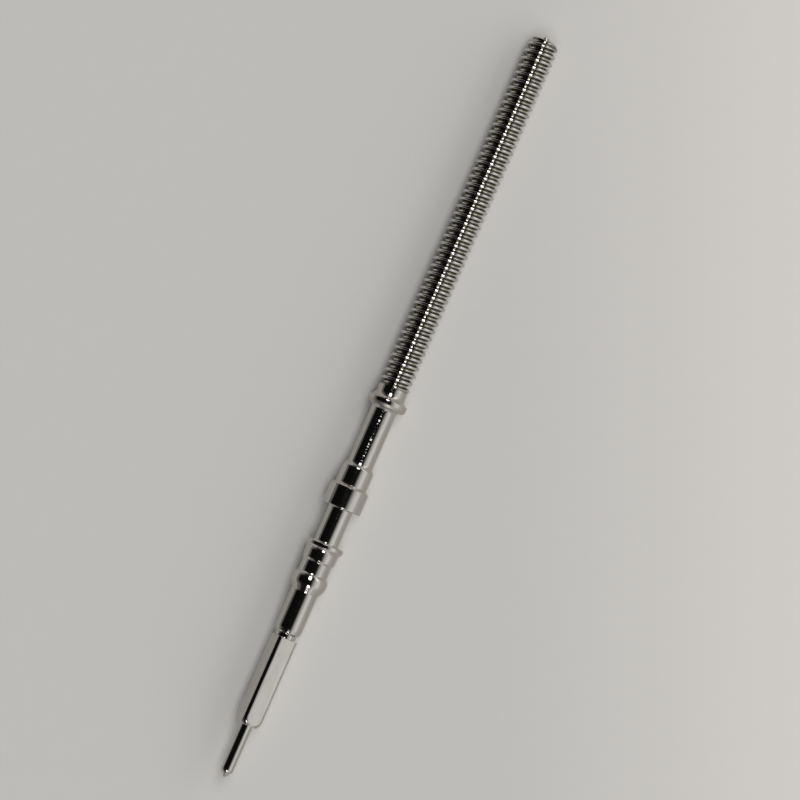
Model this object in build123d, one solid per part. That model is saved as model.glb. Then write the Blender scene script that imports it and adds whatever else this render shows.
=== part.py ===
from build123d import *
import math
import os

os.makedirs("parts", exist_ok=True)

# The watch stem is one piece of turned, hardened steel, so it is one solid. Its axis is X:
# the pilot pivot is at the -X end and the crown's thread at the +X end. +Z is up as it lies
# loose on a table. The origin is on the axis, midway along the winding journal.
# All sizes are in millimetres and all angles in degrees.

# Pilot pivot, which turns in the hole at the middle of the movement
pivot_d = 0.36
pivot_len = 1.565
tip_face_d = 0.05
tip_half_angle = 40
tip_round = 0.18

# Square that drives the sliding clutch wheel
square_af = 0.62
square_len = 2.615
square_turn = 26
nose_face_d = 0.58
nose_cone_len = 0.11
nose_round = 0.34

# Turned notch where the flats run out
notch_d = 0.604
notch_len = 0.18
notch_ramp_len = 0.055
notch_round = 0.02

# Winding journal, on which the winding pinion turns
journal_d = 0.776
journal_len = 1.19
journal_lead_len = 0.10
journal_lead_depth = 0.028
journal_lead_round = 0.10

# Rounded bead that stops the winding pinion
bead_height = 0.125
bead_len = 0.555
bead_foot_round = 0.12
bead_cone_len = 0.235
bead_crown_len = 0.244
bead_crown_round = 0.30
bead_back_round = 0.22

# Shallow valley behind the bead
valley_depth = 0.088
valley_len = 0.335
valley_round = 0.03

# Step that flares up into the thin disc
step_height = 0.047
step_len = 0.405
step_ramp_len = 0.07
step_round = 0.03
flare_len = 0.075
flare_steep_len = 0.022
flare_height = 0.022
flare_round = 0.05

# Thin disc, the front wall of the setting lever's groove
disc_d = 1.102
disc_len = 0.178
disc_front_len = 0.045
disc_round = 0.02
disc_bevel_len = 0.04
disc_bevel_depth = 0.035

# Groove for the setting lever's pin
groove_d = 0.71
groove_len = 1.058
groove_round = 0.03

# Bearing collar, the groove's back wall
collar_d = 1.125
collar_len = 0.652
collar_break = 0.035
collar_bevel = 0.045

# Smaller collar behind it
rear_collar_d = 0.914
rear_collar_len = 0.61
rear_collar_foot_len = 0.04
rear_collar_foot_height = 0.03
shoulder_len = 0.11
shoulder_top_round = 0.05
shoulder_foot_round = 0.12

# Long neck
neck_d = 0.736
neck_len = 1.71
neck_round = 0.03

# Flange, with a cone on each side
flange_d = 1.142
flange_front_cone_len = 0.072
flange_front_cone_height = 0.062
flange_rim_len = 0.24
flange_front_edge_len = 0.10
flange_front_edge_height = 0.045
flange_front_round = 0.05
flange_top_round = 0.15
flange_back_round = 0.04
flange_back_cone_len = 0.105
flange_back_cone_height = 0.105

# Plain relief between the flange and the thread
relief_d = 0.836
relief_len = 0.233
relief_front_round = 0.28
relief_back_round = 0.05
relief_back_cone_len = 0.06

# Right-handed crown thread
thread_d = 0.90
thread_pitch = 0.225
thread_len = 10.535
thread_depth = 0.126
thread_crest = 0.05
thread_half_angle = 30
thread_phase = 139
lead_in_start = 0.03
lead_in_depth = 0.02
lead_in_len = 0.16
lead_in_angle = 22
end_chamfer_len = 0.17
end_chamfer_depth = 0.10
end_chamfer_round = 0.05

# Parted-off end face, a shallow cone with the small pip that the parting tool leaves
end_cone_height = 0.08
pip_d = 0.16
pip_len = 0.035
pip_round = 0.03

# How far each cutting solid reaches past what it cuts
overrun = 0.1

# How far the relief's back cone reaches in under the thread's root, to join the two
root_overlap = 0.02

# Most of a straight run that the roundings at its two ends may take
run_share = 0.98

# How many steps a thread flank's curve is drawn with
flank_steps = 8

# The stations along X, worked out from the lengths, with the origin inside the journal
pivot_x = -journal_len / 2 - notch_len - square_len - pivot_len
square_x = pivot_x + pivot_len
notch_x = square_x + square_len
journal_x = notch_x + notch_len
bead_x = journal_x + journal_len
valley_x = bead_x + bead_len
step_x = valley_x + valley_len
disc_x = step_x + step_len
groove_x = disc_x + disc_len
collar_x = groove_x + groove_len
rear_collar_x = collar_x + collar_len
neck_x = rear_collar_x + rear_collar_len
flange_x = neck_x + neck_len
rim_x = flange_x + flange_front_cone_len
relief_x = rim_x + flange_rim_len + flange_back_cone_len
thread_x = relief_x + relief_len
end_x = thread_x + thread_len


def ease(corners):
    """Shorten the roundings that don't fit on the straight runs beside them."""
    spots = [Vector(x, r) for x, r, rounding in corners]
    runs = [(b - a).length for a, b in zip(spots, spots[1:])]
    needs = [0.0]
    for (before, here, after), corner in zip(zip(spots, spots[1:], spots[2:]), corners[1:]):
        turn = (here - before).get_angle(after - here)
        needs.append(corner[2] * math.tan(math.radians(turn) / 2))
    needs.append(0.0)
    room = []
    for run, a, b in zip(runs, needs, needs[1:]):
        room.append(min(1, run_share * run / (a + b)) if a + b > 0 else 1)
    return [corner[2] * min(a, b) for corner, a, b in zip(corners[1:], room, room[1:])]


def turned(corners):
    """Turn an outline of (x, radius, rounding) corners about the stem's axis."""
    rim = FilletPolyline(*[(x, r) for x, r, rounding in corners], radius=ease(corners))
    axis_line = Line(rim @ 1, rim @ 0)
    return revolve(make_face([*rim.edges(), axis_line]), Axis.X)


def pivot_corners():
    """The pilot pivot's cone and the square's rounded front end."""
    cone_len = (pivot_d - tip_face_d) / 2 / math.tan(math.radians(tip_half_angle))
    return [
        (pivot_x, 0, 0),
        (pivot_x, tip_face_d / 2, tip_face_d / 2),
        (pivot_x + cone_len, pivot_d / 2, tip_round),
        (square_x, pivot_d / 2, 0),
        (square_x, nose_face_d / 2, 0),
        (square_x + nose_cone_len, journal_d / 2, nose_round),
    ]


def journal_corners():
    """The notch behind the square and the journal's eased front edge."""
    return [
        (notch_x, journal_d / 2, 0),
        (notch_x, notch_d / 2, notch_round),
        (journal_x - notch_ramp_len, notch_d / 2, notch_round),
        (journal_x, journal_d / 2 - journal_lead_depth, notch_round),
        (journal_x + journal_lead_len, journal_d / 2, journal_lead_round),
    ]


def bead_corners():
    """The bead, the valley behind it and the flared step."""
    bead_r = journal_d / 2 + bead_height
    valley_r = bead_r - valley_depth
    step_r = valley_r + step_height
    return [
        (bead_x, journal_d / 2, bead_foot_round),
        (bead_x + bead_cone_len, bead_r, bead_crown_round),
        (bead_x + bead_cone_len + bead_crown_len, bead_r, bead_back_round),
        (valley_x, valley_r, valley_round),
        (step_x, valley_r, valley_round),
        (step_x + step_ramp_len, step_r, step_round),
        (disc_x - flare_len, step_r, flare_round),
        (disc_x - flare_steep_len, step_r + flare_height, flare_round),
    ]


def collar_corners():
    """The thin disc, the setting lever's groove, the two collars and the long neck."""
    return [
        (disc_x + disc_front_len, disc_d / 2, disc_round),
        (groove_x - disc_bevel_len, disc_d / 2, 0),
        (groove_x, disc_d / 2 - disc_bevel_depth, 0),
        (groove_x, groove_d / 2, groove_round),
        (collar_x, groove_d / 2, groove_round),
        (collar_x, collar_d / 2, collar_break),
        (rear_collar_x - collar_bevel, collar_d / 2, 0),
        (rear_collar_x, collar_d / 2 - collar_bevel, 0),
        (rear_collar_x, rear_collar_d / 2 + rear_collar_foot_height, 0),
        (rear_collar_x + rear_collar_foot_len, rear_collar_d / 2, 0),
        (neck_x - shoulder_len / 2, rear_collar_d / 2, shoulder_top_round),
        (neck_x + shoulder_len / 2, neck_d / 2, shoulder_foot_round),
    ]


def flange_corners():
    """The flange, the plain relief and the way down to the axis inside the thread."""
    flange_r = flange_d / 2
    relief_r = relief_d / 2
    relief_end = thread_x + relief_back_cone_len
    relief_end_r = thread_d / 2 - thread_depth - root_overlap
    return [
        (flange_x, neck_d / 2, neck_round),
        (rim_x, neck_d / 2 + flange_front_cone_height, 0),
        (rim_x, flange_r - flange_front_edge_height, flange_front_round),
        (rim_x + flange_front_edge_len, flange_r, flange_top_round),
        (rim_x + flange_rim_len, flange_r, flange_back_round),
        (rim_x + flange_rim_len, relief_r + flange_back_cone_height, 0),
        (relief_x, relief_r, relief_front_round),
        (thread_x, relief_r, relief_back_round),
        (relief_end, relief_end_r, 0),
        (relief_end, 0, 0),
    ]


def flats():
    """The four flats, as what the square's length loses outside its square section."""
    middle = (square_x + notch_x + notch_len / 2) / 2
    length = square_len + notch_len / 2
    around = Cylinder(journal_d / 2 + overrun, length, rotation=(0, 90, 0))
    bar = Box(length, square_af, square_af)
    return Pos(middle, 0, 0) * Rot(square_turn, 0, 0) * (around - bar)


def thread_section():
    """The thread cut square to its axis: each turn of it is this shape turned once."""
    flank_len = thread_depth * math.tan(math.radians(thread_half_angle))
    root_len = thread_pitch - thread_crest - 2 * flank_len
    crest_turn, flank_turn, root_turn = [
        360 * length / thread_pitch for length in (thread_crest, flank_len, root_len)
    ]
    crest_r = thread_d / 2
    root_r = crest_r - thread_depth

    def spot(radius, angle):
        return Vector(radius, 0).rotate(Axis.Z, angle)

    def flank(start, from_r, to_r):
        shares = [step / flank_steps for step in range(flank_steps + 1)]
        return Spline(*[spot(from_r + (to_r - from_r) * s, start + flank_turn * s) for s in shares])

    falling = crest_turn / 2
    root = falling + flank_turn
    rising = root + root_turn
    outline = [
        ThreePointArc(spot(crest_r, -falling), spot(crest_r, 0), spot(crest_r, falling)),
        flank(falling, crest_r, root_r),
        ThreePointArc(spot(root_r, root), spot(root_r, root + root_turn / 2), spot(root_r, rising)),
        flank(rising, root_r, crest_r),
    ]
    return make_face(outline)


def crown_thread():
    """The threaded rod, with a lead-in from the relief, an end chamfer, a cone and a pip."""
    reach = thread_len + 3 * thread_pitch
    upright = Solid.extrude_linear_with_rotation(
        thread_section().face(), (0, 0, 0), (0, 0, reach), 360 * reach / thread_pitch
    )
    rod = Pos(thread_x - thread_pitch, 0, 0) * Rot(0, 90, 0) * Rot(0, 0, thread_phase) * upright
    crest_r = thread_d / 2
    end_r = crest_r - end_chamfer_depth
    start_x = thread_x - lead_in_start
    start_r = relief_d / 2 - lead_in_depth
    clear_r = start_r + lead_in_len * math.tan(math.radians(lead_in_angle))
    limit = turned([
        (start_x, 0, 0),
        (start_x, start_r, 0),
        (start_x + lead_in_len, clear_r, 0),
        (end_x - end_chamfer_len, clear_r, 0),
        (end_x - end_chamfer_len, crest_r, 0),
        (end_x, end_r, end_chamfer_round),
        (end_x + end_cone_height, pip_d / 2, 0),
        (end_x + end_cone_height + pip_len, pip_d / 2, pip_round),
        (end_x + end_cone_height + pip_len, 0, 0),
    ])
    return rod & limit


outline = pivot_corners() + journal_corners() + bead_corners() + collar_corners() + flange_corners()
winding_stem = turned(outline) - flats() + crown_thread()
export_step(winding_stem, "parts/winding_stem.step")
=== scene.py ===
import logging
import math
from dataclasses import dataclass, field
from enum import Enum
from typing import Any, NamedTuple

import bmesh
import bpy
import numpy as np
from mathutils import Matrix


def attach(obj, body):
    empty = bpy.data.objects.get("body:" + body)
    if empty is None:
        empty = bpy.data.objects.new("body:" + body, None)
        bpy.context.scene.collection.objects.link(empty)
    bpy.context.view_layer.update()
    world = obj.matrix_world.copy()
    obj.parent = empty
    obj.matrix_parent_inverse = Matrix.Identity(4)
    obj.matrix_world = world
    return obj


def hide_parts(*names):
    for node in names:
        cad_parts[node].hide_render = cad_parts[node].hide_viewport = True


"""The finish of a turned steel watch winding stem, lying on a sheet of pale paper.

The stem's axis is X, with the pilot pivot at -X and the crown thread at +X, and +Z is up. The
sizes are in millimetres and are turned into metres where a mesh is made. Lamps and clipping
distances are in metres, and angles are in degrees.
"""

MM = 0.001
MICRON = 1e-6
EDGE_BREAK = 0.006
SUPPORT = 0.008
SUPPORTED_RUN = 4 * SUPPORT
RUN_SHARE = 0.98
TINY = 1e-6
MERGE_DISTANCE = 0.00005
SHARP_ANGLE = 40.0

log = logging.getLogger("winding_stem")
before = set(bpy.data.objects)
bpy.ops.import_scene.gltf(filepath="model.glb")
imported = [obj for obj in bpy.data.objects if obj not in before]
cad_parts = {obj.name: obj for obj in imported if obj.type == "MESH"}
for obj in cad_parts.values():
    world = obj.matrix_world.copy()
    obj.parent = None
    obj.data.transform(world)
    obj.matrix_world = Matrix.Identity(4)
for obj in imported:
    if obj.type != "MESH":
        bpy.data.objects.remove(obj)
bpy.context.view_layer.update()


class Corner(NamedTuple):
    """One corner of a turned outline: its place along the axis, its radius and its rounding."""

    x: float
    r: float
    rounding: float = EDGE_BREAK


class Section(Enum):
    """How a stretch of the stem is cut across its axis."""

    ROUND = "turned round"
    SQUARE = "cut with four flats"


def unit(vector: np.ndarray) -> np.ndarray:
    """Scale a vector to length one."""
    return vector / np.linalg.norm(vector)


def rounded_outline(corners: list[Corner], turn_step: float = 12.0) -> np.ndarray:
    """Sample a turned outline with a circular arc at each corner.

    An arc of radius R at a corner where the outline turns by angle A starts R times the tangent
    of A/2 before the corner. Its points go round its centre in equal steps. Where two arcs would
    meet on a short run, both get smaller. A point just inside each end of a straight run keeps the
    shading of the run flat.

    Args:
        corners: the outline's corners in order along the axis.
        turn_step: the largest turn between two points of an arc, in degrees.

    Returns:
        An array of (x, radius) rows.
    """
    spots = np.array([(corner.x, corner.r) for corner in corners])
    steps = np.diff(spots, axis=0)
    runs = np.linalg.norm(steps, axis=1)
    ways = steps / runs[:, None]
    cosines = np.clip((ways[:-1] * ways[1:]).sum(axis=1), -1, 1)
    turns = np.concatenate([[0], np.arccos(cosines), [0]])
    tangents = np.array([corner.rounding for corner in corners]) * np.tan(turns / 2)
    share = np.minimum(1, RUN_SHARE * runs / np.maximum(tangents[:-1] + tangents[1:], TINY))
    tangents[1:-1] *= np.minimum(share[:-1], share[1:])
    rows = [spots[:1]]
    for i in range(1, len(corners) - 1):
        start = spots[i] - ways[i - 1] * tangents[i]
        end = spots[i] + ways[i] * tangents[i]
        if runs[i - 1] > SUPPORTED_RUN + tangents[i] + tangents[i - 1]:
            rows.append((start - ways[i - 1] * SUPPORT)[None])
        if tangents[i] < TINY:
            rows.append(spots[i][None])
        else:
            radius = tangents[i] / math.tan(turns[i] / 2)
            inward = unit(ways[i] - ways[i - 1])
            centre = spots[i] + inward * radius / math.cos(turns[i] / 2)
            count = max(2, math.ceil(math.degrees(turns[i]) / turn_step))
            parts = np.linspace(0, 1, count + 1)[:, None]
            first, last = (start - centre) / radius, (end - centre) / radius
            arc = np.sin((1 - parts) * turns[i]) * first + np.sin(parts * turns[i]) * last
            rows.append(centre + radius * arc / math.sin(turns[i]))
        if runs[i] > SUPPORTED_RUN + tangents[i] + tangents[i + 1]:
            rows.append((end + ways[i] * SUPPORT)[None])
    rows.append(spots[-1:])
    return np.concatenate(rows)


@dataclass
class PilotPivot:
    """The thin pivot with a cone tip at the stem's inner end."""

    diameter: float = 0.36
    length: float = 1.565
    tip_face: float = 0.05
    tip_half_angle: float = 40.0
    tip_round: float = 0.18

    def corners(self, x: float) -> list[Corner]:
        """Give the outline from the tip to the shoulder.

        Args:
            x: where the pivot starts along the axis.

        Returns:
            The pivot's corners.
        """
        cone = (self.diameter - self.tip_face) / 2 / math.tan(math.radians(self.tip_half_angle))
        return [
            Corner(x, 0, 0),
            Corner(x, self.tip_face / 2, self.tip_face / 2),
            Corner(x + cone, self.diameter / 2, self.tip_round),
            Corner(x + self.length, self.diameter / 2),
        ]


@dataclass
class ClutchSquare:
    """The square that drives the sliding clutch wheel, with a rounded front and a notch behind."""

    across_flats: float = 0.62
    corner_circle: float = 0.776
    length: float = 2.615
    turn: float = 26.0
    face: float = 0.58
    nose_cone: float = 0.11
    nose_round: float = 0.34
    notch_diameter: float = 0.604
    notch_length: float = 0.18
    notch_ramp: float = 0.055
    notch_round: float = 0.02

    def corners(self, x: float) -> list[Corner]:
        """Give the outline of the square's corner circle and of the notch behind it.

        Args:
            x: where the square starts along the axis.

        Returns:
            The corners up to the foot of the notch's ramp.
        """
        end = x + self.length
        ramp = end + self.notch_length - self.notch_ramp
        return [
            Corner(x, self.face / 2),
            Corner(x + self.nose_cone, self.corner_circle / 2, self.nose_round),
            Corner(end, self.corner_circle / 2),
            Corner(end, self.notch_diameter / 2, self.notch_round),
            Corner(ramp, self.notch_diameter / 2, self.notch_round),
        ]


@dataclass
class WindingJournal:
    """The plain bearing on which the winding pinion turns."""

    diameter: float = 0.776
    length: float = 1.19
    lead_length: float = 0.10
    lead_depth: float = 0.028
    lead_round: float = 0.10
    foot_round: float = 0.02
    end_round: float = 0.12

    def corners(self, x: float) -> list[Corner]:
        """Give the journal's eased front edge and its plain length.

        Args:
            x: where the journal starts along the axis.

        Returns:
            The journal's corners.
        """
        return [
            Corner(x, self.diameter / 2 - self.lead_depth, self.foot_round),
            Corner(x + self.lead_length, self.diameter / 2, self.lead_round),
            Corner(x + self.length, self.diameter / 2, self.end_round),
        ]


@dataclass
class StopBead:
    """The rounded bead, the shallow valley behind it and the flared step."""

    height: float = 0.125
    length: float = 0.555
    cone: float = 0.235
    crown: float = 0.244
    crown_round: float = 0.30
    back_round: float = 0.22
    valley_depth: float = 0.088
    valley_length: float = 0.335
    valley_round: float = 0.03
    step_height: float = 0.047
    step_length: float = 0.405
    step_ramp: float = 0.07
    step_round: float = 0.03
    flare_length: float = 0.075
    flare_steep: float = 0.022
    flare_height: float = 0.022
    flare_round: float = 0.02

    def corners(self, x: float, foot: float) -> list[Corner]:
        """Give the outline from the bead's foot to the thin disc.

        Args:
            x: where the bead starts along the axis.
            foot: the radius of the journal in front of it.

        Returns:
            The bead's, the valley's and the step's corners.
        """
        top = foot + self.height
        low = top - self.valley_depth
        step = low + self.step_height
        valley = x + self.length
        rise = valley + self.valley_length
        end = rise + self.step_length
        return [
            Corner(x + self.cone, top, self.crown_round),
            Corner(x + self.cone + self.crown, top, self.back_round),
            Corner(valley, low, self.valley_round),
            Corner(rise, low, self.valley_round),
            Corner(rise + self.step_ramp, step, self.step_round),
            Corner(end - self.flare_length, step, self.flare_round),
            Corner(end - self.flare_steep, step + self.flare_height, self.flare_round),
        ]

    def whole_length(self) -> float:
        """Give the length of bead, valley and step together."""
        return self.length + self.valley_length + self.step_length


@dataclass
class LeverGroove:
    """The thin disc, the setting lever's groove, the two collars and the long neck."""

    disc_diameter: float = 1.102
    disc_length: float = 0.178
    disc_front: float = 0.045
    disc_round: float = 0.02
    disc_bevel: float = 0.04
    disc_bevel_depth: float = 0.035
    groove_diameter: float = 0.71
    groove_length: float = 1.058
    groove_round: float = 0.03
    collar_diameter: float = 1.125
    collar_length: float = 0.652
    collar_break: float = 0.035
    collar_bevel: float = 0.045
    rear_diameter: float = 0.914
    rear_length: float = 0.61
    rear_foot: float = 0.04
    rear_foot_height: float = 0.03
    shoulder_length: float = 0.11
    shoulder_top_round: float = 0.05
    shoulder_foot_round: float = 0.12
    neck_diameter: float = 0.736
    neck_length: float = 1.71
    neck_round: float = 0.03

    def corners(self, x: float) -> list[Corner]:
        """Give the outline from the disc to the end of the long neck.

        Args:
            x: where the disc starts along the axis.

        Returns:
            The corners of disc, groove, collars and neck.
        """
        groove = x + self.disc_length
        collar = groove + self.groove_length
        rear = collar + self.collar_length
        neck = rear + self.rear_length
        return [
            Corner(x + self.disc_front, self.disc_diameter / 2, self.disc_round),
            Corner(groove - self.disc_bevel, self.disc_diameter / 2),
            Corner(groove, self.disc_diameter / 2 - self.disc_bevel_depth),
            Corner(groove, self.groove_diameter / 2, self.groove_round),
            Corner(collar, self.groove_diameter / 2, self.groove_round),
            Corner(collar, self.collar_diameter / 2, self.collar_break),
            Corner(rear - self.collar_bevel, self.collar_diameter / 2),
            Corner(rear, self.collar_diameter / 2 - self.collar_bevel),
            Corner(rear, self.rear_diameter / 2 + self.rear_foot_height),
            Corner(rear + self.rear_foot, self.rear_diameter / 2),
            Corner(neck - self.shoulder_length / 2, self.rear_diameter / 2, self.shoulder_top_round),
            Corner(neck + self.shoulder_length / 2, self.neck_diameter / 2, self.shoulder_foot_round),
            Corner(neck + self.neck_length, self.neck_diameter / 2, self.neck_round),
        ]

    def whole_length(self) -> float:
        """Give the length of disc, groove, collars and neck together."""
        wide = self.disc_length + self.groove_length
        return wide + self.collar_length + self.rear_length + self.neck_length


@dataclass
class Flange:
    """The flange with a cone on each side, and the plain relief before the thread."""

    diameter: float = 1.142
    front_cone: float = 0.072
    front_rise: float = 0.062
    rim: float = 0.24
    front_edge: float = 0.10
    front_drop: float = 0.045
    front_foot_round: float = 0.02
    front_round: float = 0.05
    top_round: float = 0.15
    back_round: float = 0.04
    back_foot_round: float = 0.015
    back_cone: float = 0.105
    back_rise: float = 0.105
    relief_diameter: float = 0.836
    relief_length: float = 0.233
    relief_round: float = 0.20

    def corners(self, x: float, neck: float) -> list[Corner]:
        """Give the outline from the neck's end to the thread's start.

        Args:
            x: where the flange's front cone starts along the axis.
            neck: the radius of the neck in front of it.

        Returns:
            The corners of flange and relief.
        """
        front = x + self.front_cone
        back = front + self.rim
        relief = self.relief_diameter / 2
        return [
            Corner(front, neck + self.front_rise, self.front_foot_round),
            Corner(front, self.diameter / 2 - self.front_drop, self.front_round),
            Corner(front + self.front_edge, self.diameter / 2, self.top_round),
            Corner(back, self.diameter / 2, self.back_round),
            Corner(back, relief + self.back_rise, self.back_foot_round),
            Corner(back + self.back_cone, relief, self.relief_round),
            Corner(back + self.back_cone + self.relief_length, relief, 0),
        ]

    def whole_length(self) -> float:
        """Give the length of flange and relief together."""
        return self.front_cone + self.rim + self.back_cone + self.relief_length

    def middle(self) -> float:
        """Give how far the rim's middle lies behind the flange's start."""
        return self.front_cone + self.rim / 2


@dataclass
class CrownThread:
    """The long right-handed thread that takes the crown, and the stem's parted-off end."""

    diameter: float = 0.90
    pitch: float = 0.225
    length: float = 10.535
    depth: float = 0.126
    crest: float = 0.05
    half_angle: float = 30.0
    phase: float = 139.0
    crest_round: float = 0.042
    root_round: float = 0.03
    turn_step: float = 26.0
    lead_start: float = 0.03
    lead_depth: float = 0.02
    lead_length: float = 0.16
    lead_angle: float = 22.0
    relief_edge: float = 0.06
    chamfer_length: float = 0.17
    chamfer_depth: float = 0.10
    cone_height: float = 0.08
    pip_diameter: float = 0.16
    pip_length: float = 0.035
    pip_foot_round: float = 0.02
    pip_round: float = 0.03

    def tooth(self) -> np.ndarray:
        """Sample one pitch of the thread's outline, from root to root.

        Returns:
            Rows of (share of the pitch from the crest's middle, radius).
        """
        flank = self.depth * math.tan(math.radians(self.half_angle))
        top, foot = self.crest / 2, self.crest / 2 + flank
        high, low = self.diameter / 2, self.diameter / 2 - self.depth
        outline = rounded_outline([
            Corner(-self.pitch / 2, low, 0),
            Corner(-foot, low, self.root_round),
            Corner(-top, high, self.crest_round),
            Corner(top, high, self.crest_round),
            Corner(foot, low, self.root_round),
            Corner(self.pitch / 2, low, 0),
        ], self.turn_step)
        return outline[:-1] / np.array([self.pitch, 1])

    def trimmed(self, along: np.ndarray, radii: np.ndarray, relief: float) -> np.ndarray:
        """Hold the tooth's radii inside the lead-in and the end chamfer.

        The relief's rounded edge reaches into the first turn: its drop is that of a circle.

        Args:
            along: distances from the thread's start.
            radii: the tooth's radius at each of them.
            relief: the radius of the plain relief in front of the thread.

        Returns:
            A radius for each distance.
        """
        high = self.diameter / 2
        low = relief - self.lead_depth
        clear = low + self.lead_length * math.tan(math.radians(self.lead_angle))
        led_in = self.lead_length - self.lead_start
        places = [-self.lead_start, led_in, self.length - self.chamfer_length, self.length]
        limits = np.interp(along, places, [low, clear, high, high - self.chamfer_depth])
        edge = self.relief_edge
        shoulder = relief - edge + np.sqrt(np.clip(edge ** 2 - along ** 2, 0, None))
        return np.maximum(np.minimum(radii, limits), np.where(along < edge, shoulder, 0))

    def end_corners(self, x: float) -> list[Corner]:
        """Give the outline of the end face's shallow cone and of the parting pip.

        Args:
            x: where the thread ends along the axis.

        Returns:
            The corners from the thread's root to the axis.
        """
        top = x + self.cone_height
        return [
            Corner(x, self.diameter / 2 - self.depth, 0),
            Corner(top, self.pip_diameter / 2, self.pip_foot_round),
            Corner(top + self.pip_length, self.pip_diameter / 2, self.pip_round),
            Corner(top + self.pip_length, 0, 0),
        ]


@dataclass
class WindingStem:
    """The whole stem, one piece of steel, as one closed mesh.

    The flats are cut where the turned radius is more than the cut share times their distance from
    the axis. The exponent limit keeps the blend over the square's edges in range.
    """

    pivot: PilotPivot = field(default_factory=PilotPivot)
    square: ClutchSquare = field(default_factory=ClutchSquare)
    journal: WindingJournal = field(default_factory=WindingJournal)
    bead: StopBead = field(default_factory=StopBead)
    groove: LeverGroove = field(default_factory=LeverGroove)
    flange: Flange = field(default_factory=Flange)
    thread: CrownThread = field(default_factory=CrownThread)
    flat_steps: int = 4
    edge_steps: int = 5
    edge_spread: float = 7.0
    edge_sharpness: float = 85.0
    cut_share: float = 1.0005
    exponent_limit: float = 60.0
    spare_turns: int = 4

    def __post_init__(self) -> None:
        """Work out the stations along the axis from the lengths."""
        self.square_x = -self.journal.length / 2 - self.square.notch_length - self.square.length
        self.tip_x = self.square_x - self.pivot.length
        self.notch_x = self.square_x + self.square.length
        self.bead_x = self.journal.length / 2
        self.disc_x = self.bead_x + self.bead.whole_length()
        self.flange_x = self.disc_x + self.groove.whole_length()
        self.neck_x = self.flange_x - self.groove.neck_length
        self.thread_x = self.flange_x + self.flange.whole_length()
        self.end_x = self.thread_x + self.thread.length

    def outline(self) -> np.ndarray:
        """Sample the turned outline from the tip to the thread's start."""
        journal_x = -self.journal.length / 2
        return rounded_outline([
            *self.pivot.corners(self.tip_x),
            *self.square.corners(self.square_x),
            *self.journal.corners(journal_x),
            *self.bead.corners(self.bead_x, self.journal.diameter / 2),
            *self.groove.corners(self.disc_x),
            *self.flange.corners(self.flange_x, self.groove.neck_diameter / 2),
        ])

    def section(self, x: float) -> Section:
        """Tell how the stem is cut across its axis at one place."""
        inside = self.square_x - MERGE_DISTANCE < x < self.notch_x + self.square.notch_length / 2
        return Section.SQUARE if inside else Section.ROUND

    def columns(self, edges: np.ndarray) -> np.ndarray:
        """Spread the mesh columns round the axis, with some close to each edge of the square.

        In each eighth of the circle the angles go in long even steps from a flat's middle to just
        before its edge, then in short even steps over the edge to the corner's middle.

        Args:
            edges: for each ring, the angle from a flat's middle to its edge, in degrees.

        Returns:
            A row of angles for each ring, from the first flat's middle, in degrees.
        """
        before = (edges - np.minimum(self.edge_spread, edges / 2))[:, None]
        flat = before * np.linspace(0, 1, self.flat_steps + 1)
        over = before + (45 - before) * np.linspace(0, 1, self.edge_steps + 1)[1:-1]
        half = np.concatenate([flat, over], axis=1)
        corner = np.full((len(edges), 1), 45.0)
        quarter = np.concatenate([-corner, -half[:, :0:-1], half], axis=1)
        return np.concatenate([quarter + 90 * side for side in range(4)], axis=1)

    def turned_rings(self) -> tuple[np.ndarray, np.ndarray, np.ndarray]:
        """Work out the rings from the tip to the thread's start.

        A ring on the square has at each angle the smaller of the turned radius and the distance to
        the flat, which is half the width across flats over the cosine of the angle from the
        flat's middle. The two run together smoothly over the width of a broken edge.

        Returns:
            Places along the axis, radii and angles, each with a row for a ring.
        """
        outline = self.outline()
        x, turned = outline[:, 0], outline[:, 1]
        flat = self.square.across_flats / 2
        full_edge = math.degrees(math.acos(flat / (self.square.corner_circle / 2)))
        square = np.array([self.section(place) is Section.SQUARE for place in x])
        cut = square & (turned > flat * self.cut_share)
        reach = np.degrees(np.arccos(np.clip(flat / np.maximum(turned, flat), 0, 1)))
        angles = self.columns(np.where(cut, reach, full_edge))
        from_middle = (angles + 45) % 90 - 45
        to_flat = flat / np.cos(np.radians(from_middle))
        gap = self.edge_sharpness * (to_flat - turned[:, None])
        gap = np.clip(gap, -self.exponent_limit, self.exponent_limit)
        eased = turned[:, None] - np.log1p(np.exp(-gap)) / self.edge_sharpness
        radii = np.where(cut[:, None], eased, turned[:, None])
        return np.repeat(x[:, None], angles.shape[1], axis=1), radii, angles

    def thread_rings(self, angles: np.ndarray) -> tuple[np.ndarray, np.ndarray, int]:
        """Work out the rings of the thread, which climb one pitch in a turn.

        A ring keeps its place on the tooth: it moves along the axis by the pitch times the angle
        over a full turn, and is held between the thread's two ends.

        Args:
            angles: the angle of each mesh column, in degrees.

        Returns:
            Places along the axis, radii, and the number of rings in a pitch.
        """
        thread = self.thread
        tooth = thread.tooth()
        count = math.ceil(thread.length / thread.pitch) + self.spare_turns
        ring = (np.arange(-1, count - 1)[:, None] + tooth[None, :, 0]).ravel()
        lag = (self.square.turn + angles + 180 - thread.phase) / 360
        along = np.clip((ring[:, None] + lag[None]) * thread.pitch, 0, thread.length)
        place = (along / thread.pitch - lag[None] + 0.5) % 1 - 0.5
        shares = np.append(tooth[:, 0], 0.5)
        radii = np.interp(place, shares, np.append(tooth[:, 1], tooth[0, 1]))
        radii = thread.trimmed(along, radii, self.flange.relief_diameter / 2)
        return self.thread_x + along, radii, len(tooth)

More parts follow.
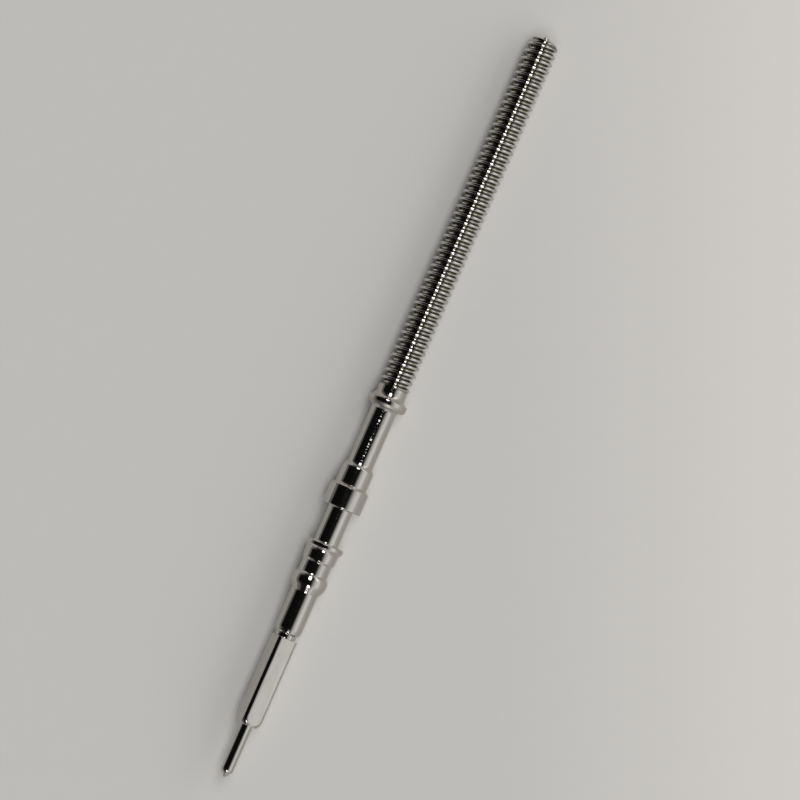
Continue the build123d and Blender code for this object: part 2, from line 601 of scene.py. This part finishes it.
    def mesh(self, name: str) -> bpy.types.Mesh:
        """Build the closed mesh of the stem.

        Each point is at its place along the axis and at its radius, at an angle from straight up
        towards the side that the light comes from.

        Args:
            name: the mesh's name.

        Returns:
            The mesh, in metres.
        """
        x, r, turned_angles = self.turned_rings()
        angles = turned_angles[-1]
        thread_x, thread_r, shift = self.thread_rings(angles)
        end = rounded_outline(self.thread.end_corners(self.end_x))
        width = len(angles)
        places = np.concatenate([x, thread_x, np.repeat(end[:, :1], width, axis=1)])
        radii = np.concatenate([r, thread_r, np.repeat(end[:, 1:], width, axis=1)])
        tail = np.repeat(angles[None], len(thread_x) + len(end), axis=0)
        turn = np.radians(self.square.turn + np.concatenate([turned_angles, tail]))
        points = np.stack([places, -radii * np.sin(turn), radii * np.cos(turn)], axis=-1)
        faces = self.faces(len(x), len(thread_x), len(end), width, shift)
        mesh = bpy.data.meshes.new(name)
        mesh.from_pydata((points.reshape(-1, 3) * MM).tolist(), [], faces.tolist())
        return close_mesh(mesh)

    def faces(self, first: int, threaded: int, last: int, width: int, shift: int) -> np.ndarray:
        """Join the rings with four-sided faces.

        On the thread, the last column meets the first one a whole pitch further along.

        Args:
            first: how many rings come before the thread.
            threaded: how many rings the thread has.
            last: how many rings come after the thread.
            width: how many points a ring has.
            shift: how many rings make one pitch.

        Returns:
            A row of four point numbers for each face.
        """
        rows = np.arange(first + threaded + last - 1)
        ring, column = np.meshgrid(rows, np.arange(width), indexing="ij")
        on_thread = (ring >= first) & (ring < first + threaded - 1)
        top = first + threaded - 1
        over = (column + 1) % width
        step = np.where(on_thread & (over == 0), shift, 0)
        near = np.where(on_thread, np.minimum(ring + step, top), ring)
        far = np.where(on_thread, np.minimum(ring + 1 + step, top), ring + 1)
        corners = [(ring, column), (near, over), (far, over), (ring + 1, column)]
        return np.stack([(row * width + place).ravel() for row, place in corners], axis=1)


def close_mesh(mesh: bpy.types.Mesh) -> bpy.types.Mesh:
    """Join doubled points, turn the faces outwards and smooth the shading.

    Args:
        mesh: a mesh whose seams and poles are doubled points.

    Returns:
        The same mesh, closed.
    """
    work = bmesh.new()
    work.from_mesh(mesh)
    bmesh.ops.remove_doubles(work, verts=work.verts, dist=MERGE_DISTANCE * MM)
    bmesh.ops.recalc_face_normals(work, faces=work.faces)
    work.to_mesh(mesh)
    work.free()
    mesh.shade_smooth()
    mesh.set_sharp_from_angle(angle=math.radians(SHARP_ANGLE))
    return mesh


class Value:
    """A number that varies over a surface, for use in Python expressions."""

    def __init__(self, graph: "Graph", socket: bpy.types.NodeSocket) -> None:
        """Wrap an output socket of a node graph."""
        self.graph = graph
        self.socket = socket

    def math(self, operation: str, *others: "Value | float", swapped: bool = False) -> "Value":
        """Add a Math node.

        Args:
            operation: the Math node's operation.
            others: the other operands.
            swapped: whether this value is the second operand.

        Returns:
            The node's result.
        """
        operands = [self, *others]
        if swapped:
            operands.reverse()
        return self.graph.value("ShaderNodeMath", {"operation": operation}, dict(enumerate(operands)))

    def __add__(self, other: "Value | float") -> "Value":
        """Add."""
        return self.math("ADD", other)

    __radd__ = __add__

    def __sub__(self, other: "Value | float") -> "Value":
        """Subtract."""
        return self.math("SUBTRACT", other)

    def __rsub__(self, other: "Value | float") -> "Value":
        """Subtract this value from the other."""
        return self.math("SUBTRACT", other, swapped=True)

    def __mul__(self, other: "Value | float") -> "Value":
        """Multiply."""
        return self.math("MULTIPLY", other)

    __rmul__ = __mul__

    def between(self, low: float, high: float) -> "Value":
        """Rise smoothly from 0 at the low value to 1 at the high one.

        Args:
            low: where the result leaves 0.
            high: where the result reaches 1.

        Returns:
            The smooth step.
        """
        settings = {"interpolation_type": "SMOOTHSTEP"}
        inputs = {0: self, 1: low, 2: high, 3: 0.0, 4: 1.0}
        return self.graph.value("ShaderNodeMapRange", settings, inputs)

    def band(self, low: float, high: float, soft: float) -> "Value":
        """Be 1 between two values and fade to 0 outside them over a soft width."""
        return self.between(low - soft, low) * (1 - self.between(high, high + soft))


class Grain(NamedTuple):
    """A soft noise.

    The rate is how many times it varies in a millimetre along each axis, the detail is how many
    finer layers it has, and the roughness is how strongly they show.
    """

    rate: tuple[float, float, float]
    detail: float
    roughness: float = 0.55


class Graph:
    """A node graph that is written with one method for every node."""

    def __init__(self, tree: bpy.types.NodeTree) -> None:
        """Start from an emptied node tree."""
        self.tree = tree
        tree.nodes.clear()

    def node(self, kind: str, settings: dict[str, Any], inputs: dict[Any, Any]) -> bpy.types.Node:
        """Add a node.

        Args:
            kind: the node's type.
            settings: its properties, and a ramp's stops under the name stops.
            inputs: a value, a socket or a Value for each named or numbered input.

        Returns:
            The node.
        """
        node = self.tree.nodes.new(kind)
        for name, setting in settings.items():
            if name == "stops":
                set_stops(node.color_ramp, setting)
            else:
                setattr(node, name, setting)
        for name, given in inputs.items():
            source = given.socket if isinstance(given, Value) else given
            if isinstance(source, bpy.types.NodeSocket):
                self.tree.links.new(source, node.inputs[name])
            else:
                node.inputs[name].default_value = source
        return node

    def value(self, kind: str, settings: dict[str, Any], inputs: dict[Any, Any]) -> Value:
        """Add a node and wrap its first output."""
        return Value(self, self.node(kind, settings, inputs).outputs[0])

    def parts(self, vector: bpy.types.NodeSocket) -> list[Value]:
        """Split a vector into its three parts."""
        split = self.node("ShaderNodeSeparateXYZ", {}, {0: vector})
        return [Value(self, part) for part in split.outputs]

    def spot(self) -> bpy.types.NodeSocket:
        """Give the place on the surface, as a vector in millimetres."""
        place = self.node("ShaderNodeTexCoord", {}, {}).outputs["Object"]
        scaled = self.node("ShaderNodeVectorMath", {"operation": "SCALE"}, {0: place, "Scale": 1 / MM})
        return scaled.outputs[0]

    def noise(self, spot: bpy.types.NodeSocket, grain: Grain) -> Value:
        """Add soft noise.

        Args:
            spot: the place on the surface, in millimetres.
            grain: how the noise varies.

        Returns:
            The noise, from 0 to 1.
        """
        stretch = self.node("ShaderNodeVectorMath", {"operation": "MULTIPLY"}, {0: spot, 1: grain.rate})
        return self.value("ShaderNodeTexNoise", {}, {
            "Vector": stretch.outputs[0], "Scale": 1.0, "Detail": grain.detail,
            "Roughness": grain.roughness,
        })

    def mix_colour(self, share: Value | float, first: Any, second: Any) -> bpy.types.NodeSocket:
        """Mix two colours.

        Args:
            share: how much of the second colour shows.
            first: a colour or a colour socket.
            second: a colour or a colour socket.

        Returns:
            The mixed colour's socket.
        """
        node = self.node("ShaderNodeMix", {"data_type": "RGBA"}, {0: share, 6: first, 7: second})
        return node.outputs[2]


def set_stops(ramp: bpy.types.ColorRamp, stops: list[tuple[float, float]]) -> None:
    """Give a ramp grey stops.

    Args:
        ramp: the ramp of a new node.
        stops: each stop's place and its brightness, in order.
    """
    while len(ramp.elements) < len(stops):
        ramp.elements.new(0.5)
    for element, (place, level) in zip(ramp.elements, stops):
        element.position = place
        element.color = (level, level, level, 1)


class Zones(NamedTuple):
    """How far a place on the steel lies in each zone of its finish, from 0 to 1."""

    thread: Value
    root: Value
    flank: Value
    crest: Value
    front_edge: Value


@dataclass(frozen=True)
class TurnedSteel:
    """Hardened steel, turned and polished, with a darker brown colour on the thread's flanks.

    A range gives the two values between which a zone fades in. A share is how far a colour covers
    what is under it, and a rough value is what a zone adds to the roughness. The mark depth is in
    thousandths of a millimetre, and the other depths, the gain and the losses are shares.
    """

    steel: tuple[float, float, float, float] = (0.52, 0.50, 0.465, 1)
    worn: tuple[float, float, float, float] = (0.60, 0.585, 0.55, 1)
    bright: tuple[float, float, float, float] = (0.58, 0.565, 0.54, 1)
    tarnish: tuple[float, float, float, float] = (0.43, 0.405, 0.36, 1)
    root: tuple[float, float, float, float] = (0.62, 0.60, 0.52, 1)
    dark_flank: tuple[float, float, float, float] = (0.12, 0.11, 0.085, 1)
    cloud: Grain = Grain((1.3, 4.0, 4.0), 3)
    cloud_range: tuple[float, float] = (0.35, 0.75)
    fine: Grain = Grain((9.0, 22.0, 22.0), 4)
    worn_range: tuple[float, float] = (0.58, 0.72)
    scuff_range: tuple[float, float] = (0.55, 0.75)
    root_range: tuple[float, float] = (0.01, 0.03)
    flank_foot: float = 0.022
    flank_top: float = 0.035
    flank_fade: float = 0.02
    crest_fade: float = 0.012
    edge_fade: float = 0.02
    tarnish_share: float = 0.55
    worn_share: float = 0.25
    bright_share: float = 0.9
    root_share: float = 0.8
    dark_flank_share: float = 0.6
    dark_flank_cloud_share: float = 0.5
    edge_share: float = 0.5
    roughness: float = 0.055
    cloud_rough: float = 0.05
    flank_rough: float = 0.10
    scuff_rough: float = 0.04
    edge_rough: float = 0.34
    mark_depth: float = 9.0
    ring_rate: float = 14.0
    ring_detail: float = 3.0
    ring_roughness: float = 0.7
    ring_depth: float = 0.22
    neck_gain: float = 0.21
    plain_loss: float = 0.20
    thread_loss: float = 0.7
    least_drift: float = 0.5
    drift: Grain = Grain((2.2, 3.0, 3.0), 2)
    ground: Grain = Grain((0.8, 26.0, 26.0), 3)
    ground_depth: float = 0.35
    square_fade: float = 0.02
    plain_fade: float = 0.05
    neck_fade: float = 0.03

    def material(self, stem: WindingStem) -> bpy.types.Material:
        """Build the steel's material for one stem.

        Args:
            stem: the stem, whose stations place the zones and the marks.

        Returns:
            The material.
        """
        material = bpy.data.materials.new("turned_steel")
        material.use_nodes = True
        graph = Graph(material.node_tree)
        spot = graph.spot()
        x, y, z = graph.parts(spot)
        zones = self.zones(stem, x, (y * y + z * z).math("SQRT"))
        cloud, fine = graph.noise(spot, self.cloud), graph.noise(spot, self.fine)
        rough = self.roughness + self.cloud_rough * cloud + self.flank_rough * zones.flank
        rough += self.scuff_rough * fine.between(*self.scuff_range) + self.edge_rough * zones.front_edge
        bump = graph.node("ShaderNodeBump", {}, {
            "Strength": 1.0, "Distance": self.mark_depth * MICRON,
            "Height": self.marks(graph, stem, spot, x, zones.thread),
        })
        shader = graph.node("ShaderNodeBsdfPrincipled", {}, {
            "Base Color": self.colour(graph, zones, cloud, fine), "Metallic": 1.0, "Roughness": rough,
            "Normal": bump.outputs[0],
        })
        graph.node("ShaderNodeOutputMaterial", {}, {0: shader.outputs[0]})
        return material

    def zones(self, stem: WindingStem, x: Value, radius: Value) -> Zones:
        """Work out where the thread's root, flanks and crests and the flange's front edge are.

        Each is a smooth step or band of the place along the axis, times one of the radius on the
        thread.

        Args:
            stem: the stem, whose stations and thread place the zones.
            x: the place along the axis.
            radius: the distance from the axis.

        Returns:
            The zones.
        """
        fade = stem.thread.lead_start
        thread = x.band(stem.thread_x + fade, stem.end_x - fade, fade)
        top = stem.thread.diameter / 2
        bottom = top - stem.thread.depth
        low, high = self.root_range
        front = stem.flange_x + stem.flange.front_cone
        return Zones(
            thread=thread,
            root=thread * (1 - radius.between(bottom + low, bottom + high)),
            flank=thread * radius.band(bottom + self.flank_foot, top - self.flank_top, self.flank_fade),
            crest=thread * radius.between(top - self.crest_fade, top),
            front_edge=x.band(front, front + stem.flange.front_edge, self.edge_fade),
        )

    def colour(self, graph: Graph, zones: Zones, cloud: Value, fine: Value) -> bpy.types.NodeSocket:
        """Lay the finish's colours over the plain steel, one after another.

        Args:
            graph: the material's graph.
            zones: where each zone of the finish is.
            cloud: the broad noise.
            fine: the fine noise.

        Returns:
            The colour's socket.
        """
        colour = self.steel
        for share, layer in (
            (cloud.between(*self.cloud_range) * self.tarnish_share, self.tarnish),
            (fine.between(*self.worn_range) * self.worn_share, self.worn),
            (zones.crest * self.bright_share, self.bright),
            (zones.root * self.root_share, self.root),
            # The thread's flanks are made darker and browner, more so where the broad noise is high.
            (zones.flank * (self.dark_flank_share + self.dark_flank_cloud_share * cloud), self.dark_flank),
            (zones.front_edge * self.edge_share, self.tarnish),
        ):
            colour = graph.mix_colour(share, colour, layer)
        return colour

    def marks(self, graph: Graph, stem: WindingStem, spot: bpy.types.NodeSocket, x: Value,
              thread: Value) -> Value:
        """Work out the height of the cutting marks.

        The turned lengths have rings round the axis, as noise of the place along it alone. They
        are deeper on the neck, shallow on the plain lengths in front of the bead and shallow on
        the thread. The square has lengthwise grinding marks, as noise that is stretched along it.

        Args:
            graph: the material's graph.
            stem: the stem, whose stations place the marks.
            spot: the place on the surface, in millimetres.
            x: the place along the axis.
            thread: 1 on the thread and 0 before it.

        Returns:
            The height, about 0 to 1.
        """
        rings = graph.value("ShaderNodeTexNoise", {"noise_dimensions": "1D"}, {
            "W": x * self.ring_rate, "Scale": 1.0, "Detail": self.ring_detail,
            "Roughness": self.ring_roughness,
        })
        square = x.band(stem.square_x, stem.notch_x, self.square_fade)
        plain = x.band(stem.tip_x, stem.bead_x, self.plain_fade)
        neck = x.band(stem.neck_x, stem.flange_x, self.neck_fade)
        depth = self.ring_depth + self.neck_gain * neck - self.plain_loss * plain
        turned = rings * depth * (1 - self.thread_loss * thread)
        turned *= self.least_drift + graph.noise(spot, self.drift)
        return turned * (1 - square) + self.ground_depth * graph.noise(spot, self.ground) * square


@dataclass(frozen=True)
class PaleSheet:
    """The plain pale sheet that the stem lies on, with painted light on one side."""

    colour: tuple[float, float, float, float] = (0.70, 0.683, 0.655, 1)
    painted_light_side: tuple[float, float, float, float] = (0.88, 0.85, 0.81, 1)
    painted_light_way: float = 66.4
    painted_light_start: float = 3.75
    painted_light_full: float = 17.9
    grain: Grain = Grain((2.2, 2.2, 2.2), 5, 0.6)
    grain_share: float = 0.12
    roughness: float = 0.95
    half_size: float = 600.0
    steps: int = 3

    def mesh(self, stem: WindingStem) -> bpy.types.Mesh:
        """Build the sheet, which touches the stem at its flange and at the thread's end.

        The height falls on a straight line through the lowest points of the flange and of the
        thread's last full turn.

        Args:
            stem: the stem that lies on the sheet.

        Returns:
            The sheet's mesh, in metres.
        """
        near = stem.flange_x + stem.flange.middle()
        far = stem.end_x - stem.thread.chamfer_length
        rise = (stem.flange.diameter - stem.thread.diameter) / 2 / (far - near)
        line = np.linspace(-self.half_size, self.half_size, self.steps)
        x, y = np.meshgrid(line, line, indexing="ij")
        z = -stem.flange.diameter / 2 + rise * (x - near)
        points = np.stack([x, y, z], axis=-1).reshape(-1, 3) * MM
        number = np.arange(self.steps ** 2).reshape(self.steps, self.steps)
        quads = [number[:-1, :-1], number[1:, :-1], number[1:, 1:], number[:-1, 1:]]
        faces = np.stack([quad.ravel() for quad in quads], axis=1)
        mesh = bpy.data.meshes.new("pale_sheet")
        mesh.from_pydata(points.tolist(), [], faces.tolist())
        return mesh

    def material(self) -> bpy.types.Material:
        """Build the sheet's matt material, with painted light: a little lighter on the side of the
        light.

        The painted light begins and ends at distances from the origin, measured in a direction at an
        angle from +X towards -Y.

        Returns:
            The material.
        """
        material = bpy.data.materials.new("pale_paper")
        material.use_nodes = True
        graph = Graph(material.node_tree)
        spot = graph.spot()
        x, y, _ = graph.parts(spot)
        way = math.radians(self.painted_light_way)
        # Painted light: the colour turns paler towards the side the light comes from, standing in for
        # the light's fall-off.
        light = (x * math.cos(way) - y * math.sin(way)).between(self.painted_light_start, self.painted_light_full)
        share = light + self.grain_share * (graph.noise(spot, self.grain) - 0.5)
        shader = graph.node("ShaderNodeBsdfPrincipled", {}, {
            "Base Color": graph.mix_colour(share, self.colour, self.painted_light_side),
            "Roughness": self.roughness, "Specular IOR Level": 0.0,
        })
        graph.node("ShaderNodeOutputMaterial", {}, {0: shader.outputs[0]})
        return material


@dataclass(frozen=True)
class PhotoCamera:
    """A camera at the photograph's viewing angle, for a frame of 800 by 800 pixels.

    The scale is in pixels for a millimetre at the stem. The axis values give the way that the
    stem's +X points in the picture.
    """

    frame_px: float = 800.0
    focal_px: float = 4500.0
    scale_px: float = 36.1
    middle_along_px: float = 414.9
    middle_side_px: float = 10.44
    foot_along_px: float = 262.0
    axis_right: float = 0.40043
    axis_up: float = 0.91633
    sensor: float = 36.0
    clip_near: float = 0.005
    clip_far: float = 10.0

    def build(self, stem: WindingStem) -> bpy.types.Object:
        """Place the camera above the stem.

        The picture's middle is a known number of pixels from the pivot's tip along the stem and
        to its side. The camera stands over another place along the stem, so it looks a little
        slantwise.

        Args:
            stem: the stem that the camera looks at.

        Returns:
            The camera.
        """
        height = self.focal_px / self.scale_px
        side = -self.middle_side_px / self.scale_px
        target = np.array([stem.tip_x + self.middle_along_px / self.scale_px, side, 0])
        eye = np.array([stem.tip_x + self.foot_along_px / self.scale_px, side, height])
        forward = unit(target - eye)
        right = unit(np.cross(forward, np.array([self.axis_up, self.axis_right, 0])))
        up = np.cross(right, forward)
        data = bpy.data.cameras.new("photo_camera")
        data.sensor_width = self.sensor
        data.lens = self.sensor * self.focal_px / self.frame_px
        data.clip_start = self.clip_near
        data.clip_end = self.clip_far
        camera = bpy.data.objects.new("photo_camera", data)
        matrix = np.eye(4)
        matrix[:3, 0], matrix[:3, 1], matrix[:3, 2], matrix[:3, 3] = right, up, -forward, eye * MM
        camera.matrix_world = matrix.T.tolist()
        bpy.context.scene.collection.objects.link(camera)
        bpy.context.scene.camera = camera
        return camera


@dataclass(frozen=True)
class SoftStudio:
    """The light all round: soft from the side of -Y, with a dark band overhead.

    Each list gives the brightness at an angle from straight up towards -Y. Across is for light
    that comes square to the stem's axis, ahead and behind are for light from over the thread's
    end and from over the pivot's end, and horizon is for light from low down. End-on is the range
    of the direction's share along X over which ahead and behind take over, and low is the range
    of its share along Z over which the horizon does.
    """

    across: tuple[tuple[float, float], ...] = (
        (-90, 0.006), (13, 0.006), (20, 0.07), (26, 0.30), (34, 0.57), (43, 0.79), (52, 0.95),
        (60, 0.98), (70, 0.88), (80, 0.72), (90, 0.60),
    )
    ahead: tuple[tuple[float, float], ...] = (
        (-90, 0.35), (-75, 0.28), (-60, 0.08), (-45, 0.02), (-24, 0.008), (23, 0.01), (33, 0.4),
        (43, 1.3), (54, 1.7), (65, 1.2), (90, 0.6),
    )
    behind: tuple[tuple[float, float], ...] = (
        (-90, 0.2), (-70, 0.15), (-50, 0.02), (-24, 0.008), (20, 0.02), (31, 0.4), (41, 0.8), (52, 0.9),
        (65, 0.7), (90, 0.5),
    )
    horizon: tuple[tuple[float, float], ...] = (
        (-90, 0.20), (-40, 0.26), (0, 0.46), (50, 0.66), (90, 0.58),
    )
    end_on: tuple[float, float] = (0.25, 0.6)
    low: tuple[float, float] = (0.18, 0.34)

    def world(self) -> None:
        """Build the world's light, by the angle from straight up across the stem's axis.

        The angle is the arc tangent of the direction's part along -Y over its part along +Z.
        """
        world = bpy.data.worlds.new("soft_studio")
        world.use_nodes = True
        bpy.context.scene.world = world
        graph = Graph(world.node_tree)
        x, y, z = graph.parts(graph.node("ShaderNodeTexCoord", {}, {}).outputs["Generated"])
        share = (0 - y).math("ARCTAN2", z) * (1 / math.pi) + 0.5
        lists = (self.across, self.ahead, self.behind, self.horizon)
        ramps = [[(angle / 180 + 0.5, level) for angle, level in points] for points in lists]
        across, ahead, behind, horizon = [
            graph.value("ShaderNodeValToRGB", {"stops": stops}, {0: share}) for stops in ramps
        ]
        forward, backward = x.between(*self.end_on), (0 - x).between(*self.end_on)
        above = across * (1 - forward) * (1 - backward) + ahead * forward + behind * backward
        low = 1 - z.between(*self.low)
        level = above * (1 - low) + horizon * low
        light = graph.node("ShaderNodeBackground", {}, {"Color": (1, 1, 1, 1), "Strength": level})
        graph.node("ShaderNodeOutputWorld", {}, {0: light.outputs[0]})


class Use(Enum):
    """What a lamp is for."""

    SPOTS = "mirrored in the steel"
    FILL = "soft light on the sheet"


@dataclass(frozen=True)
class PanelLamp:
    """A flat lamp that faces the middle of the stem. Its lengths are in metres."""

    name: str
    power: float
    slant: float
    side: float
    size: tuple[float, float]
    use: Use = Use.SPOTS
    distance: float = 0.5
    middle: float = 0.0062

    def build(self) -> bpy.types.Object:
        """Place the lamp.

        The slant is its angle from straight up, towards +X, and the side is its angle across the
        stem, towards -Y.

        Returns:
            The lamp.
        """
        data = bpy.data.lights.new(self.name, "AREA")
        data.shape = "RECTANGLE"
        data.size, data.size_y = self.size
        data.energy = self.power
        lamp = bpy.data.objects.new(self.name, data)
        slant, side = math.radians(self.slant), math.radians(self.side)
        height = self.distance * math.cos(slant)
        lamp.location = (self.middle + self.distance * math.sin(slant), -height * math.tan(side), height)
        lamp.rotation_euler = (-side, slant, 0.0)
        lamp.visible_camera = False
        lamp.visible_diffuse = self.use is Use.FILL
        lamp.visible_glossy = self.use is Use.SPOTS
        bpy.context.scene.collection.objects.link(lamp)
        return lamp


LAMPS = (
    PanelLamp("far_panel", power=1.15, slant=32.0, side=-2.0, size=(0.40, 0.13)),
    PanelLamp("near_panel", power=0.40, slant=-45.0, side=11.0, size=(0.18, 0.12)),
    PanelLamp("soft_panel", power=5.9, slant=0.0, side=7.0, size=(1.5, 0.4), use=Use.FILL, distance=0.9),
)


def add_object(name: str, mesh: bpy.types.Mesh, material: bpy.types.Material) -> bpy.types.Object:
    """Put a mesh with its material into the scene.

    Args:
        name: the object's name.
        mesh: its mesh.
        material: its material.

    Returns:
        The object, at the origin.
    """
    mesh.materials.append(material)
    made = bpy.data.objects.new(name, mesh)
    bpy.context.scene.collection.objects.link(made)
    log.info("%s: %d points, %d faces", name, len(mesh.vertices), len(mesh.polygons))
    return made


def main() -> None:
    """Build the stem, the sheet, the light and the camera, and report each piece."""
    logging.basicConfig(level=logging.INFO, format="%(message)s")
    stem = WindingStem()
    piece = add_object("steel_stem", stem.mesh("steel_stem"), TurnedSteel().material(stem))
    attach(piece, "root")
    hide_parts("winding_stem")
    sheet = PaleSheet()
    floor = add_object("pale_sheet", sheet.mesh(stem), sheet.material())
    SoftStudio().world()
    for lamp in LAMPS:
        lamp.build()
    PhotoCamera().build(stem)
    bpy.context.scene.view_settings.view_transform = "Standard"


if __name__ == "__main__":
    main()
